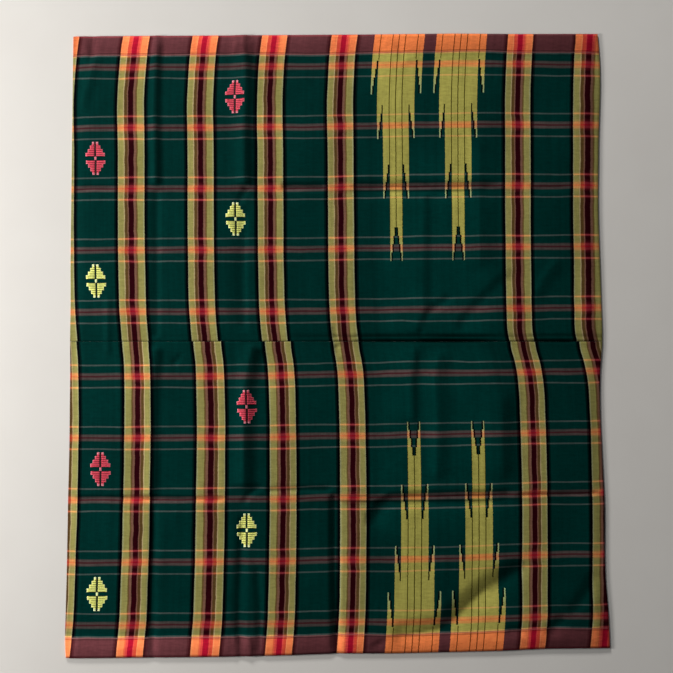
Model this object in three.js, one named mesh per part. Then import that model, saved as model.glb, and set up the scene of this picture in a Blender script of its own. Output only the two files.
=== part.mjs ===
// Songket sarong: a tube skirt laid flat, its front lying on its back.
// Two loom widths of cloth, each bent round into a flat tube and closed at its cut ends,
// stand edge to edge along the centre seam. Millimetres, +Z up, +Y towards the top edge,
// +X towards the right-hand fold as seen from above. The origin is the middle of the underside.
import * as THREE from 'three';

// ---- driving dimensions ----
const wall = 1.0; // thickness of the cloth wall
const innerGap = 0.4; // air between front and back layer where both lie flat
const seamGap = 0.3; // between pieces that are sewn edge to edge
const topEdge = { left: 600, right: 605 }; // heights of the tube's upper mouth at its two folds
const bottomEdge = { left: -605, right: -586 }; // and of its lower mouth
const pressSquares = { across: 6, upEachPanel: 2 }; // squares that storage folding pressed into the cloth
const airUnderFront = 1.3; // how far the front layer stands off the back inside a pressed square
const edgeFade = 26; // width over which that air runs out towards folds and mouths
const foldSteps = 4; // facets round each side fold
const closingSeamAt = -54; // X of the closing seam on the back, before the cloth's creep

// The two side folds, as X at heights down the tube.
const outline = [
  { y: 605, left: -520, right: 512 },
  { y: 560, left: -520, right: 515 },
  { y: 380, left: -520, right: 510 },
  { y: 192, left: -520, right: 507 },
  { y: 150, left: -520, right: 504 },
  { y: 80, left: -519, right: 505 },
  { y: 0, left: -519, right: 510 },
  { y: -115, left: -518, right: 508 },
  { y: -220, left: -518, right: 511 },
  { y: -300, left: -519, right: 514 },
  { y: -455, left: -520, right: 514.5 },
  { y: -520, left: -521, right: 519 },
  { y: -586, left: -521, right: 521 },
  { y: -605, left: -519.5, right: 521 },
];

// How far the cloth has crept round the tube, towards +X on the front and -X on the back.
const creep = [
  { y: 605, by: 8 },
  { y: 550, by: 2 },
  { y: 372, by: -1 },
  { y: 176, by: 1 },
  { y: 79, by: 4 },
  { y: 0, by: 10 },
  { y: -57, by: 18 },
  { y: -172, by: 22 },
  { y: -306, by: 23.5 },
  { y: -420, by: 23 },
  { y: -605, by: 16.5 },
];

// Where the rings and columns of points lie inside one pressed square, close together at its creases.
const squareStations = [0, 0.06, 0.2, 0.4, 0.6, 0.8, 0.94];

// Pressed creases up the tube: at a share of its width, from one height to another.
// A positive rise is a ridge, a negative one a trough, and reach is how wide it fades.
const uprightCreases = [
  { share: 1 / 6, from: 600, to: 20, rise: -0.8, reach: 14 },
  { share: 1 / 6, from: 20, to: -600, rise: -1.1, reach: 18 },
  { share: 2 / 6, from: 600, to: 120, rise: 0.7, reach: 16 },
  { share: 2 / 6, from: -20, to: -600, rise: 1.2, reach: 20 },
  { share: 3 / 6, from: -30, to: -600, rise: -1.2, reach: 12 },
  { share: 4 / 6, from: 600, to: 60, rise: 0.5, reach: 20 },
  { share: 4 / 6, from: 30, to: -420, rise: -1.0, reach: 20 },
  { share: 5 / 6, from: 40, to: -560, rise: 0.8, reach: 22 },
];

// Pressed creases across the tube, at a height, from one share of the width to another.
const levelCreases = [
  { y: 299, from: 0.48, to: 0.86, rise: -1.1, reach: 14 },
  { y: 299, from: 0.04, to: 0.46, rise: 0.5, reach: 16 },
  { y: 0, from: 0.02, to: 0.98, rise: 0.8, reach: 10 },
  { y: -300, from: 0.5, to: 0.86, rise: -1.1, reach: 14 },
  { y: -300, from: 0.04, to: 0.46, rise: 0.6, reach: 16 },
];

// A soft fold that no pressing made: the trough beside it, as a bent line with its depth there.
const softTrough = [
  { x: 95, y: -552, dip: 0 },
  { x: 190, y: -541, dip: 0.7 },
  { x: 235, y: -520, dip: 1.2 },
  { x: 285, y: -485, dip: 1.3 },
  { x: 345, y: -440, dip: 1.0 },
  { x: 430, y: -420, dip: 0.4 },
];
const troughReach = 15;

// Broad swells of loose cloth, as ellipses on the plan.
const swells = [
  { x: 390, y: -505, reachX: 120, reachY: 50, rise: 1.5 },
  { x: 215, y: -420, reachX: 110, reachY: 70, rise: 0.8 },
  { x: 60, y: 60, reachX: 120, reachY: 60, rise: 0.5 },
  { x: -260, y: -420, reachX: 60, reachY: 120, rise: 0.5 },
  { x: 440, y: 150, reachX: 50, reachY: 120, rise: 0.7 },
];
const mostAir = 3.3; // the front layer stands off no further than this

// ---- shape functions ----
const mix = (a, b, t) => a + (b - a) * t;
const smooth = (t) => {
  const c = Math.min(1, Math.max(0, t));
  return c * c * (3 - 2 * c);
};

// Reads a column of a table whose rows run down in y, on a smooth curve through the rows.
function readTable(table, column, y) {
  const end = table.length - 1;
  const reached = table.findIndex((row) => row.y <= y);
  const next = reached < 0 ? end : Math.max(1, reached);
  const slopeAt = (i) => {
    const [a, b] = [table[Math.max(0, i - 1)], table[Math.min(end, i + 1)]];
    return (b[column] - a[column]) / (b.y - a.y);
  };
  const [high, low] = [table[next - 1], table[next]];
  const span = low.y - high.y;
  const t = Math.min(1, Math.max(0, (y - high.y) / span));
  const bend = t * t * (3 - 2 * t);
  const start = t * (1 - t) ** 2 * span * slopeAt(next - 1);
  const finish = t * t * (t - 1) * span * slopeAt(next);
  return mix(high[column], low[column], bend) + start + finish;
}

// A crease fades out over the last part of its run.
function runShare(at, from, to, fade) {
  const inside = Math.min(at - Math.min(from, to), Math.max(from, to) - at);
  return smooth(inside / fade);
}

const peak = (distance, reach) => Math.exp(-Math.abs(distance) / reach);

// Depth of the soft trough at a point, from the nearest place on its bent line.
function troughDepth(x, y) {
  let [nearest, depth] = [Infinity, 0];
  for (let i = 1; i < softTrough.length; i += 1) {
    const [from, to] = [softTrough[i - 1], softTrough[i]];
    const [runX, runY] = [to.x - from.x, to.y - from.y];
    const along = ((x - from.x) * runX + (y - from.y) * runY) / (runX ** 2 + runY ** 2);
    const t = Math.min(1, Math.max(0, along));
    const distance = Math.hypot(x - from.x - runX * t, y - from.y - runY * t);
    if (distance < nearest) [nearest, depth] = [distance, mix(from.dip, to.dip, t)];
  }
  return depth * Math.exp(-((nearest / troughReach) ** 2));
}

// Height of the front layer above where it would lie flat on the back.
function frontRelief(share, x, y, width, mouthDistance) {
  const toFold = Math.min(share, 1 - share) * width;
  const fade = smooth(toFold / edgeFade) * smooth(0.25 + mouthDistance / edgeFade);
  let height = airUnderFront;
  for (const crease of uprightCreases) {
    const part = runShare(y, crease.from, crease.to, 70);
    height += crease.rise * part * peak((share - crease.share) * width, crease.reach);
  }
  for (const crease of levelCreases) {
    const part = runShare(share, crease.from, crease.to, 0.06);
    height += crease.rise * part * peak(y - crease.y, crease.reach);
  }
  for (const swell of swells) {
    const away = ((x - swell.x) / swell.reachX) ** 2 + ((y - swell.y) / swell.reachY) ** 2;
    height += swell.rise * Math.exp(-away);
  }
  height -= troughDepth(x, y);
  return Math.min(mostAir, Math.max(0, height)) * fade;
}

// Shares of a span that is divided into pressed squares, ends included.
function spanShares(squares) {
  const shares = [];
  for (let square = 0; square < squares; square += 1) {
    for (const station of squareStations) shares.push((square + station) / squares);
  }
  return [...shares, 1];
}

// One ring of the tube at share t of a panel's height, as matching outer and inner points.
// It starts at the closing seam on the back, runs to the right fold, over the front to the left
// fold and back to the seam.
function ringPoints(panel, t) {
  const yAt = (share) => mix(
    mix(panel.upper.left, panel.lower.left, t),
    mix(panel.upper.right, panel.lower.right, t),
    share,
  );
  const left = readTable(outline, 'left', yAt(0));
  const right = readTable(outline, 'right', yAt(1));
  const width = right - left;
  const flatHeight = 2 * wall + innerGap;
  const foldRadius = flatHeight / 2;
  const points = [];
  const addBack = (x) => {
    const y = yAt((x - left) / width);
    points.push({ outer: [x, y, 0], inner: [x, y, wall] });
  };
  const addFold = (centreX, y, angle) => {
    const [c, s] = [Math.cos(angle), Math.sin(angle)];
    const innerRadius = foldRadius - wall;
    points.push({
      outer: [centreX + foldRadius * c, y, foldRadius + foldRadius * s],
      inner: [centreX + innerRadius * c, y, foldRadius + innerRadius * s],
    });
  };
  const seamX = closingSeamAt - readTable(creep, 'by', yAt(0.5));
  addBack(seamX + seamGap / 2);
  for (let step = 0; step <= foldSteps; step += 1) {
    addFold(right - foldRadius, yAt(1), Math.PI * (step / foldSteps - 0.5));
  }
  const mouthDistance = Math.abs(mix(panel.mouth.left, panel.mouth.right, 0.5) - yAt(0.5));
  for (const share of spanShares(pressSquares.across).slice(1, -1).reverse()) {
    const x = mix(left + foldRadius, right - foldRadius, share);
    const y = yAt(share);
    const z = flatHeight + frontRelief(share, x, y, width, mouthDistance);
    points.push({ outer: [x, y, z], inner: [x, y, z - wall] });
  }
  for (let step = 0; step <= foldSteps; step += 1) {
    addFold(left + foldRadius, yAt(0), Math.PI * (step / foldSteps + 0.5));
  }
  addBack(seamX - seamGap / 2);
  return points;
}

// Closed wall through a list of rings: outer and inner skins, both ends and the closing seam's edges.
function wallThroughRings(rings) {
  const positions = [];
  const count = rings[0].length;
  for (const ring of rings) {
    for (const point of ring) positions.push(...point.outer, ...point.inner);
  }
  const outer = (ring, i) => 2 * (ring * count + i);
  const inner = (ring, i) => outer(ring, i) + 1;
  const faces = [];
  const quad = (a, b, c, d) => faces.push(a, b, c, a, c, d);
  const last = rings.length - 1;
  for (let ring = 0; ring < last; ring += 1) {
    for (let i = 0; i < count - 1; i += 1) {
      quad(outer(ring, i), outer(ring, i + 1), outer(ring + 1, i + 1), outer(ring + 1, i));
      quad(inner(ring, i), inner(ring + 1, i), inner(ring + 1, i + 1), inner(ring, i + 1));
    }
    quad(outer(ring, 0), outer(ring + 1, 0), inner(ring + 1, 0), inner(ring, 0));
    const end = count - 1;
    quad(outer(ring, end), inner(ring, end), inner(ring + 1, end), outer(ring + 1, end));
  }
  for (let i = 0; i < count - 1; i += 1) {
    quad(outer(0, i), inner(0, i), inner(0, i + 1), outer(0, i + 1));
    quad(outer(last, i), outer(last, i + 1), inner(last, i + 1), inner(last, i));
  }
  const geometry = new THREE.BufferGeometry();
  geometry.setAttribute('position', new THREE.Float32BufferAttribute(positions, 3));
  geometry.setIndex(faces);
  geometry.computeVertexNormals();
  return geometry;
}

// ---- the two loom widths ----
const level = (y) => ({ left: y, right: y });
const panels = [
  { name: 'upper_panel', upper: topEdge, lower: level(seamGap / 2), mouth: topEdge },
  { name: 'lower_panel', upper: level(-seamGap / 2), lower: bottomEdge, mouth: bottomEdge },
];

const cloth = new THREE.MeshStandardMaterial({ color: 0x0a3a30, roughness: 0.55, metalness: 0 });

const sarong = new THREE.Group();
for (const panel of panels) {
  const rings = spanShares(pressSquares.upEachPanel).map((share) => ringPoints(panel, share));
  const mesh = new THREE.Mesh(wallThroughRings(rings), cloth.clone());
  mesh.name = panel.name;
  sarong.add(mesh);
}

export default sarong;
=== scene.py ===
# Songket sarong laid flat: two loom widths sewn into one tube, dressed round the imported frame.
import bpy
import math
import random
import numpy as np
from mathutils import Matrix, Vector, noise
from mathutils.bvhtree import BVHTree


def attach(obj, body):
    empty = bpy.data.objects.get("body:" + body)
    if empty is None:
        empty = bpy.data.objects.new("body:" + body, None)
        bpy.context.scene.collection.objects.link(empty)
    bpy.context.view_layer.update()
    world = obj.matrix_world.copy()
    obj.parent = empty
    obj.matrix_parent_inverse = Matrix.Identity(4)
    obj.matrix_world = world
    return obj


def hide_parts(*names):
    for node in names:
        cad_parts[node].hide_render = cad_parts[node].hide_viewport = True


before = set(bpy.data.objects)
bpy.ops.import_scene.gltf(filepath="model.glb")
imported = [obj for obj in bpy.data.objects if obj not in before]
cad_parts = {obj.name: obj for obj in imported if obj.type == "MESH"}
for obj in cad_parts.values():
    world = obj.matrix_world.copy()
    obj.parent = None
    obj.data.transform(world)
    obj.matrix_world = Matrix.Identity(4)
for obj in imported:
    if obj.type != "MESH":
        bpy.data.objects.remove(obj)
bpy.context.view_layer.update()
bpy.ops.object.select_all(action="DESELECT")
mm = 0.001  # the tables below are in millimetres, and meshes are in metres
scene = bpy.context.scene

studio = {
    "aim": (-0.0021, 0.0098, 0.0),  # the point that the camera looks at
    "away": 1.4525,
    "tilt": 0.035,  # sine of the lean from straight overhead
    "lens": 40,
    "sensor": 36,
    "floorSize": 7.0,
    "floorGap": 0.0004,  # the floor lies just below the flowers on the underside
    "floorColours": ((206, 202, 197), (212, 209, 204)),
    "floorGrain": (9.0, 4.0),  # scale and detail
    "floorRoughness": 0.8,
    "sky": (0.93, 0.96, 1.0, 1.0),
    "glow": 0.07,
    "lamps": [  # name, place, size, watts, colour
        ("left light", (-2.4, 0.0, 0.8), 0.45, 76, (1.0, 0.98, 0.95)),
        ("upper light", (-1.6, 5.0, 1.5), 0.8, 345, (1.0, 0.99, 0.97)),
        ("soft top light", (-0.5, 0.0, 2.6), 2.0, 3, (0.95, 0.98, 1.0)),
    ],
}


def addCamera():
    lean = math.asin(studio["tilt"])
    camera = bpy.data.objects.new("camera", bpy.data.cameras.new("camera"))
    scene.collection.objects.link(camera)
    away = Vector((0, -math.sin(lean), math.cos(lean))) * studio["away"]
    camera.location = Vector(studio["aim"]) + away
    camera.rotation_euler = (lean, 0, 0)
    camera.data.lens = studio["lens"]
    camera.data.sensor_width = studio["sensor"]
    scene.camera = camera


def addLamps():
    for name, place, size, watts, colour in studio["lamps"]:
        bpy.ops.object.light_add(type="AREA", location=place)
        lamp = bpy.context.object
        lamp.name = name
        lamp.data.size = size
        lamp.data.energy = watts
        lamp.data.color = colour
        lamp.rotation_euler = (-Vector(place)).to_track_quat("-Z", "Y").to_euler()
        lamp.select_set(False)
    world = bpy.data.worlds.new("studio")
    world.use_nodes = True
    background = world.node_tree.nodes["Background"]
    background.inputs["Color"].default_value = studio["sky"]
    background.inputs["Strength"].default_value = studio["glow"]
    scene.world = world
    scene.view_settings.view_transform = "Standard"


addCamera()
addLamps()
print("camera and lamps are placed")


def srgb(red, green, blue):  # turned to linear light
    def one(value):
        value /= 255
        return value / 12.92 if value <= 0.04045 else ((value + 0.055) / 1.055) ** 2.4
    return (one(red), one(green), one(blue), 1.0)


def plug(tree, socket, value):
    if isinstance(value, bpy.types.NodeSocket):
        tree.links.new(value, socket)
    else:
        socket.default_value = value


def calc(tree, operation, *values, clamp=False):
    node = tree.nodes.new("ShaderNodeMath")
    node.operation = operation
    node.use_clamp = clamp
    for socket, value in zip(node.inputs, values):
        plug(tree, socket, value)
    return node.outputs[0]


def times(tree, first, *others):
    for other in others:
        first = calc(tree, "MULTIPLY", first, other)
    return first


def plus(tree, first, second, clamp=False):
    return calc(tree, "ADD", first, second, clamp=clamp)


def minus(tree, first, second, clamp=False):
    return calc(tree, "SUBTRACT", first, second, clamp=clamp)


def apart(tree, first, second):
    return calc(tree, "ABSOLUTE", minus(tree, first, second))


def remap(tree, value, low, high, toLow=0.0, toHigh=1.0):
    node = tree.nodes.new("ShaderNodeMapRange")
    for name, given in (("Value", value), ("From Min", low), ("From Max", high),
                        ("To Min", toLow), ("To Max", toHigh)):
        plug(tree, node.inputs[name], given)
    return node.outputs["Result"]


def below(tree, value, edge, feather):  # one below the edge, nought above
    return remap(tree, value, edge - feather, edge + feather, 1.0, 0.0)


def band(tree, value, low, high, feather):  # one between low and high, nought outside
    return times(tree, remap(tree, value, low - feather, low + feather), below(tree, value, high, feather))


def blend(tree, amount, first, second, mode="MIX"):
    node = tree.nodes.new("ShaderNodeMix")
    node.data_type = "RGBA"
    node.blend_type = mode
    for number, value in ((0, amount), (6, first), (7, second)):
        plug(tree, node.inputs[number], value)
    return node.outputs[2]


def shaded(tree, colour, shade):  # the colour, made lighter or darker by a number
    grey = tree.nodes.new("ShaderNodeCombineColor")
    for socket in grey.inputs:
        tree.links.new(shade, socket)
    return blend(tree, 1.0, colour, grey.outputs[0], "MULTIPLY")


def spot(tree, *places):
    node = tree.nodes.new("ShaderNodeCombineXYZ")
    for socket, value in zip(node.inputs, places):
        plug(tree, socket, value)
    return node.outputs[0]


def grain(tree, vector, scale=1.0, detail=2.0, roughness=0.5):
    node = tree.nodes.new("ShaderNodeTexNoise")
    for name, value in (("Vector", vector), ("Scale", scale), ("Detail", detail), ("Roughness", roughness)):
        plug(tree, node.inputs[name], value)
    return node.outputs["Fac"]


def stretched(tree, across, up, wide, tall, seed, detail=2.0):  # noise in flecks, wide and tall
    at = spot(tree, calc(tree, "DIVIDE", across, wide), calc(tree, "DIVIDE", up, tall), seed)
    return grain(tree, at, 1.0, detail)


noiseRange = (0.3, 0.7)  # most of a noise's values lie between these


def spread(tree, value, low, high):  # a noise's values, spread between two numbers
    return remap(tree, value, *noiseRange, low, high)


def strayed(tree, across, up, wide, tall, seed, most):
    return spread(tree, stretched(tree, across, up, wide, tall, seed), -most, most)


def inMillimetres(tree, places):
    split = tree.nodes.new("ShaderNodeSeparateXYZ")
    tree.links.new(places, split.inputs[0])
    return [times(tree, split.outputs[axis], 1000.0) for axis in ("X", "Y")]


def painted(tree, name):  # a number painted on the mesh
    node = tree.nodes.new("ShaderNodeAttribute")
    node.attribute_name = name
    return node.outputs["Fac"]


def newMaterial(name):
    material = bpy.data.materials.new(name)
    material.use_nodes = True
    return material, material.node_tree, material.node_tree.nodes["Principled BSDF"]


def dress(tree, shader, colour, rough, height, look):
    # gives a surface its colour, roughness, gloss and relief
    tree.links.new(colour, shader.inputs["Base Color"])
    tree.links.new(rough, shader.inputs["Roughness"])
    shader.inputs["Metallic"].default_value = look["metallic"]
    shader.inputs["Specular IOR Level"].default_value = look["specular"]
    bump = tree.nodes.new("ShaderNodeBump")
    for name, value in (("Height", height), *look["bump"].items()):
        plug(tree, bump.inputs[name], value)
    tree.links.new(bump.outputs["Normal"], shader.inputs["Normal"])


def newGroup(name, inputs, outputs):
    group = bpy.data.node_groups.new(name, "ShaderNodeTree")
    for label in inputs:
        group.interface.new_socket(name=label, in_out="INPUT", socket_type="NodeSocketFloat")
    for label in outputs:
        group.interface.new_socket(name=label, in_out="OUTPUT", socket_type="NodeSocketFloat")
    return group, group.nodes.new("NodeGroupInput").outputs, group.nodes.new("NodeGroupOutput").inputs


def useGroup(tree, group, values):
    node = tree.nodes.new("ShaderNodeGroup")
    node.node_tree = group
    for name, value in values.items():
        plug(tree, node.inputs[name], value)
    return node.outputs


weave = {
    "threadPitch": 0.42,  # between neighbouring threads, both ways
    # width and length of uneven places, with the seed and detail of their noise
    "slub": (8.0, 0.9, 0.0, 3.0),  # thick places in the weft
    "fleck": (0.8, 26.0, 4.0, 2.0),  # flecks in the warp
    "streak": (7.0, 420.0, 9.0, 3.0),  # paler or deeper runs of warp
    "cockle": (16.0, 4.0, 17.0, 4.0),  # a coarser unevenness that shows from afar
    "threadHigh": 0.5, "slubHigh": 0.9,  # their shares of the relief
    "threadShade": 0.10,
    "slubShade": (0.78, 1.17), "streakShade": (0.9, 1.1), "cockleShade": (0.88, 1.12),
}


def plainWeaveGroup():
    # threads crossing over and under, with thick and thin places, all in millimetres
    group, given, put = newGroup("plain weave", ("Across", "Along"), ("Height", "Shade", "Slub"))
    across, along = given["Across"], given["Along"]
    turn = math.pi / weave["threadPitch"]
    crossing = times(group, *(calc(group, "SINE", times(group, way, turn)) for way in (across, along)))
    slub, fleck, streak, cockle = (stretched(group, across, along, *weave[name])
                                   for name in ("slub", "fleck", "streak", "cockle"))
    height = plus(group, times(group, crossing, weave["threadHigh"]), times(group, slub, weave["slubHigh"]))
    shade = remap(group, plus(group, slub, fleck), *(2 * end for end in noiseRange), *weave["slubShade"])
    shade = times(group, shade, spread(group, streak, *weave["streakShade"]),
                  spread(group, cockle, *weave["cockleShade"]))
    shade = plus(group, times(group, calc(group, "ABSOLUTE", crossing), weave["threadShade"]), shade)
    for name, value in (("Height", height), ("Shade", shade), ("Slub", slub)):
        group.links.new(value, put[name])
    return group


# The pattern of the cloth, in millimetres of cloth: across from the middle of the head panel, and up
# from the outer selvedge. The columns stand either side of the head panel.
columns = {
    "first": 173.0, "pitch": 136.0, "feather": 0.5, "half": 24.9,
    "wander": 0.8, "wanderLong": 34.0,  # how far their dark cores stray, and over what length
    "wanderSeed": (21.0, 3.0), "wanderApart": 5.0,  # each column's core strays its own way
    "core": (12.5, 16.5),  # half width of the cores, and where the straying has died out
}
stripes = [  # colour and right edge, from the left, either side of a column's middle
    ("green", -32.5), ("deep green", -29.4), ("black", -24.8), ("edge", -23.2), ("olive", -14.2),
    ("cream", -12.3), ("brown", -7.0), ("mauve", -4.9), ("maroon", 4.9), ("mauve", 8.8),
    ("light brown", 11.8), ("olive", 22.6), ("edge", 24.8), ("black", 29.4), ("deep green", 32.5),
    ("green", 68.0),
]
crossings = ("ground", "single", "triple", "red core", "edge band")  # kinds of weft, each a colour below
stripeColours = {
    "green": ((0, 46, 42), (70, 82, 79), (84, 70, 68), (68, 32, 35), (98, 53, 57)),
    "deep green": ((0, 24, 22), (54, 58, 56), (60, 42, 42), (50, 16, 20), (84, 40, 44)),
    "black": ((0, 0, 4), (34, 34, 34), (42, 12, 16), (46, 4, 10), (66, 24, 28)),
    "edge": ((162, 162, 118), (228, 184, 122), (226, 162, 106), (224, 148, 94), (255, 150, 95)),
    "olive": ((152, 146, 84), (234, 172, 102), (228, 152, 92), (226, 132, 78), (255, 138, 84)),
    "cream": ((182, 164, 118), (240, 186, 122), (232, 160, 102), (228, 138, 86), (255, 150, 98)),
    "brown": ((92, 68, 36), (204, 110, 72), (190, 84, 56), (186, 60, 46), (222, 82, 60)),
    "mauve": ((128, 90, 74), (214, 116, 98), (200, 82, 72), (190, 54, 58), (228, 78, 72)),
    "maroon": ((44, 4, 12), (156, 56, 64), (150, 42, 54), (144, 18, 36), (178, 20, 48)),
    "light brown": ((110, 84, 48), (206, 124, 84), (206, 106, 68), (198, 86, 56), (235, 105, 72)),
}
rows = {
    "first": 63.5, "pitch": 120.0,
    "triple": (6.3, 1.4), "redCore": (1.6, 0.8),  # half width, and how softly the edges end
    "single": 22.0, "singleHalf": 1.5, "singleSoft": 0.4,
    "wornAndShaded": (60.0, 26.0, 15.0), "leastWorn": 0.66,  # noise by which they are paler here and there
    "bleed": (0.24, 6.0, 13.0, 5.0),  # how far the rows' orange runs into the columns
    "edgeBand": (40.4, 0.3),
    "darkLine": (35.6, 37.4), "paleLine": (38.2, 40.4), "dark": (34, 22, 22), "pale": (132, 98, 96),
    "lineSoft": 0.3, "lineShare": 0.5,
    "selvedge": (2.0, 4.0, 0.35), "selvedgeRed": (150, 40, 52),  # from, to and how strong
}
spikes = {  # the stacked spikes of the head panel
    "centres": (-66.0, 56.0),
    "levels": ((50.5, 121.0), (37.5, 209.0), (25.9, 327.0), (12.9, 449.0)),  # half width, height of the tips
    "tipWide": 2.3, "stepWider": 2.3, "stepTall": 16.6, "steps": 4,
    "gapDark": 3.2,  # width of the dark edge inside the slit
    "paleTip": 44.0,  # how far the tips are paler
    "lines": ((0.0, 1000.0), (12.9, 1000.0), (37.5, 53.0)),  # fine dark lines: from the middle, and height
    "lineHalf": 0.9,
    "filled": ((177, 170, 86), (225, 178, 100), (236, 152, 86), (230, 138, 78), (255, 140, 79)),
    "tips": ((166, 186, 136), (200, 180, 140), (215, 165, 130), (200, 140, 110), (240, 150, 100)),
    "gap": ((2, 8, 6), (30, 34, 32), (34, 14, 14), (40, 6, 8), (60, 24, 20)),
    "line": ((66, 62, 10), (120, 84, 34), (120, 56, 24), (120, 50, 20), (120, 56, 20)),
}


headTint = {  # the plain squares of the head panel are made a lighter green
    "across": (-100.0, 122.0), "soft": 12.0, "up": (215.0, 250.0), "lift": 1.32,
}
loom = {  # the hand loom's unevenness: width, height and seed of a noise, and how far threads stray by it
    "ragged": (30.0, 0.9, 7.0, 0.35),  # each weft ends a little early or late
    "sag": (90.0, 60.0, 3.0, 0.9),
    "dyeRun": (40.0, 1.6, 11.0, 0.6),  # the spikes' edges ran a little along the weft
    "stray": 0.4, "strayScale": 0.012,  # whole stripes
}
finish = {
    "dye": (0.79, 1.02), "dyeNoise": (0.009, 4.0, 0.6),  # scale, detail and roughness
    "roughness": (0.60, 0.74), "metallic": 0.2,  # the silk's gloss takes the colour of its dye
    "specular": 0.01,
    "bump": {"Strength": 0.35, "Distance": 0.00012},
}


def spikeLevelGroup():
    # one storey of the spikes: filled to its half width, and slit from its root to its tips in steps
    group, given, put = newGroup("spike level", ("Off centre", "Height", "Half width", "Tip"),
                                 ("Filled", "Gap", "Pale"))
    off, outer = given["Off centre"], given["Half width"]
    fromTip = minus(group, given["Tip"], given["Height"])
    step = calc(group, "FLOOR", calc(group, "DIVIDE", fromTip, spikes["stepTall"]))
    prong = plus(group, times(group, step, spikes["stepWider"]), spikes["tipWide"])
    whole = calc(group, "GREATER_THAN", fromTip, spikes["stepTall"] * spikes["steps"])
    inner = minus(group, outer, plus(group, prong, times(group, whole, 100.0)))
    under = calc(group, "GREATER_THAN", fromTip, 0.0)
    filled = times(group, calc(group, "LESS_THAN", off, outer), under,
                   calc(group, "GREATER_THAN", off, inner))
    gap = times(group, calc(group, "GREATER_THAN", off, minus(group, inner, spikes["gapDark"])),
                calc(group, "LESS_THAN", off, inner), under)
    pale = times(group, filled, remap(group, fromTip, 0.0, spikes["paleTip"], 1.0, 0.0))
    for name, value in (("Filled", filled), ("Gap", gap), ("Pale", pale)):
        group.links.new(value, put[name])
    return group


def stripeRamp(tree, factor, crossing):
    # the colours right across a column, for one kind of weft
    node = tree.nodes.new("ShaderNodeValToRGB")
    ramp = node.color_ramp
    colours = [srgb(*stripeColours[name][crossing]) for name, _ in stripes]
    stops = []
    for (_, edge), inside, outside in zip(stripes, colours, colours[1:]):
        middle = 0.5 + edge / columns["pitch"]
        feather = columns["feather"] / 2 / columns["pitch"]
        stops += [(middle - feather, inside), (middle + feather, outside)]
    ramp.elements[0].position, ramp.elements[0].color = stops[0]
    ramp.elements[1].position, ramp.elements[1].color = stops[-1]
    for position, colour in stops[1:-1]:
        ramp.elements.new(position).color = colour
    tree.links.new(factor, node.inputs["Fac"])
    return node.outputs["Color"]


def spikeMasks(tree, across, up):
    # where the spikes are filled, where their slits are dark, how pale their tips are, and their lines
    level = spikeLevelGroup()
    filled = gap = pale = line = 0.0
    for centre in spikes["centres"]:
        off = apart(tree, across, centre)
        for halfWidth, tip in spikes["levels"]:
            given = {"Off centre": off, "Height": up, "Half width": halfWidth, "Tip": tip}
            part = useGroup(tree, level, given)
            filled, gap, pale = (calc(tree, "MAXIMUM", mask, part[name]) for mask, name in
                                 ((filled, "Filled"), (gap, "Gap"), (pale, "Pale")))
        for at, tall in spikes["lines"]:
            onLine = times(tree, calc(tree, "LESS_THAN", apart(tree, off, at), spikes["lineHalf"]),
                           calc(tree, "LESS_THAN", up, tall))
            line = calc(tree, "MAXIMUM", line, onLine)
    return filled, minus(tree, gap, filled, clamp=True), pale, times(tree, line, filled)


def columnPlace(tree, across, up):
    # place across the nearest column, left or right of the head panel, with its dark core straying
    reach = minus(tree, calc(tree, "ABSOLUTE", across), columns["first"])
    nearest = calc(tree, "ROUND", calc(tree, "DIVIDE", reach, columns["pitch"]))
    count = calc(tree, "MAXIMUM", nearest, 0.0)
    outwards = minus(tree, reach, times(tree, count, columns["pitch"]))
    off = times(tree, outwards, calc(tree, "SIGN", across))
    own = times(tree, count, columns["wanderApart"])
    wander = spread(tree, stretched(tree, own, up, 1.0, columns["wanderLong"], *columns["wanderSeed"]),
                    -columns["wander"], columns["wander"])
    inCore = remap(tree, calc(tree, "ABSOLUTE", off), *columns["core"], 1.0, 0.0)
    return plus(tree, off, times(tree, wander, inCore))


def layRows(tree, across, up, wovenUp, offColumn, kinds):
    # crosses the ground with the level stripes, each in its colours for that kind of weft
    half = rows["pitch"] / 2
    fromFirst = minus(tree, wovenUp, rows["first"])
    offRow = calc(tree, "ABSOLUTE", calc(tree, "WRAP", fromFirst, half, -half))
    wornAndShaded = spread(tree, stretched(tree, across, up, *rows["wornAndShaded"]), rows["leastWorn"], 1.0)
    at, reach = rows["single"], rows["singleHalf"]
    single = band(tree, offRow, at - reach, at + reach, rows["singleSoft"])
    most, tripleFrom, tripleTo, singleTo = rows["bleed"]
    bleed = calc(tree, "MAXIMUM", remap(tree, offRow, tripleFrom, tripleTo, most, 0.0),
                 remap(tree, apart(tree, offRow, at), 0.0, singleTo, most, 0.0))
    onColumn = calc(tree, "LESS_THAN", calc(tree, "ABSOLUTE", offColumn), columns["half"])
    colour, onSingle, onTriple, onRed, onBand = kinds
    for amount, woven in (
            (times(tree, bleed, onColumn), onTriple),
            (times(tree, single, wornAndShaded), onSingle),
            (times(tree, below(tree, offRow, *rows["triple"]), wornAndShaded), onTriple),
            (below(tree, offRow, *rows["redCore"]), onRed),
            (below(tree, wovenUp, *rows["edgeBand"]), onBand)):
        colour = blend(tree, amount, colour, woven)
    for lineName, shadeName in (("darkLine", "dark"), ("paleLine", "pale")):
        amount = times(tree, band(tree, wovenUp, *rows[lineName], rows["lineSoft"]), rows["lineShare"])
        colour = blend(tree, amount, colour, srgb(*rows[shadeName]))
    start, end, most = rows["selvedge"]
    return blend(tree, remap(tree, wovenUp, start, end, most, 0.0), colour, srgb(*rows["selvedgeRed"]))


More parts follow.
